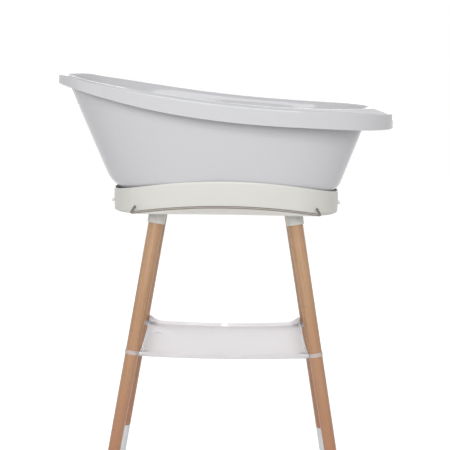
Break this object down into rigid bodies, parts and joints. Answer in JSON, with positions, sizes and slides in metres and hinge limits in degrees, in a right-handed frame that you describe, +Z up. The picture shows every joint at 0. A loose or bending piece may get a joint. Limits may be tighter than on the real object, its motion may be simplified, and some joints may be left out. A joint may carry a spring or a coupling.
{
  "type": "baby bathtub with stand",
  "caption": "Oval baby bath with a raised head end, seated in an arched ring on splayed wooden legs, with a shelf, a wire towel rail and a drain.",
  "frame": {"origin": "on the floor, under the middle of the tub's length and width", "axes": "+Z up, +X towards the foot end of the tub, -Y the side with the towel rail"},
  "size_m": [0.81, 0.46, 1.0575],
  "materials": {
    "tub_plastic": "glossy moulded polypropylene, light grey",
    "white_plastic": "satin moulded plastic, warm white",
    "frame_plastic": "satin moulded plastic, white",
    "shelf_plastic": "satin moulded plastic, white",
    "cap_plastic": "matt moulded plastic, cool white",
    "beech": "clear lacquered beech",
    "steel_wire": "polished steel wire",
    "zinc_plate": "zinc-plated steel",
    "rubber": "matt grey rubber"
  },
  "bodies": {
    "stand": {"apron": "white_plastic", "base_frame": "frame_plastic", "shelf_tray": "shelf_plastic", "support_pads": "rubber", "foot_pads": "rubber", "apron_screws": "zinc_plate", "rail_nuts": "zinc_plate", "socket_screws": "zinc_plate", "leg_bolts": "zinc_plate", "shelf_screws": "zinc_plate", "latch_pin_left": "zinc_plate", "latch_pin_right": "zinc_plate", "towel_rail": "steel_wire", "latch_spring_left": "steel_wire", "latch_spring_right": "steel_wire", "socket_front_left": "white_plastic", "leg_front_left": "beech", "foot_cap_front_left": "cap_plastic", "shelf_clip_front_left": "shelf_plastic", "socket_front_right": "white_plastic", "leg_front_right": "beech", "foot_cap_front_right": "cap_plastic", "shelf_clip_front_right": "shelf_plastic", "socket_back_left": "white_plastic", "leg_back_left": "beech", "foot_cap_back_left": "cap_plastic", "shelf_clip_back_left": "shelf_plastic", "socket_back_right": "white_plastic", "leg_back_right": "beech", "foot_cap_back_right": "cap_plastic", "shelf_clip_back_right": "shelf_plastic"},
    "tub": {"tub_shell": "tub_plastic", "tub_catches": "tub_plastic", "drain_outlet": "white_plastic", "drain_seal": "rubber", "drain_nut": "white_plastic"},
    "plug": {"drain_plug": "tub_plastic", "plug_seal": "rubber"},
    "latch_left": {"latch_left": "white_plastic"},
    "latch_right": {"latch_right": "white_plastic"}
  },
  "joints": [
    {"name": "tub_lift", "type": "slide", "parent": "stand", "child": "tub", "axis": [0, 0, 1], "range_m": [0, 0.3]},
    {"name": "plug_pull", "type": "slide", "parent": "tub", "child": "plug", "axis": [0, 0, 1], "range_m": [0, 0.04]},
    {"name": "latch_left_pull", "type": "hinge", "parent": "stand", "child": "latch_left", "pos_m": [-0.265, 0, 0.7675], "axis": [0, 1, 0], "range_deg": [0, 10], "stiffness_Nm_per_rad": 0.3, "springref_deg": -11.46},
    {"name": "latch_right_pull", "type": "hinge", "parent": "stand", "child": "latch_right", "pos_m": [0.265, 0, 0.7675], "axis": [0, -1, 0], "range_deg": [0, 10], "stiffness_Nm_per_rad": 0.3, "springref_deg": -11.46}
  ]
}
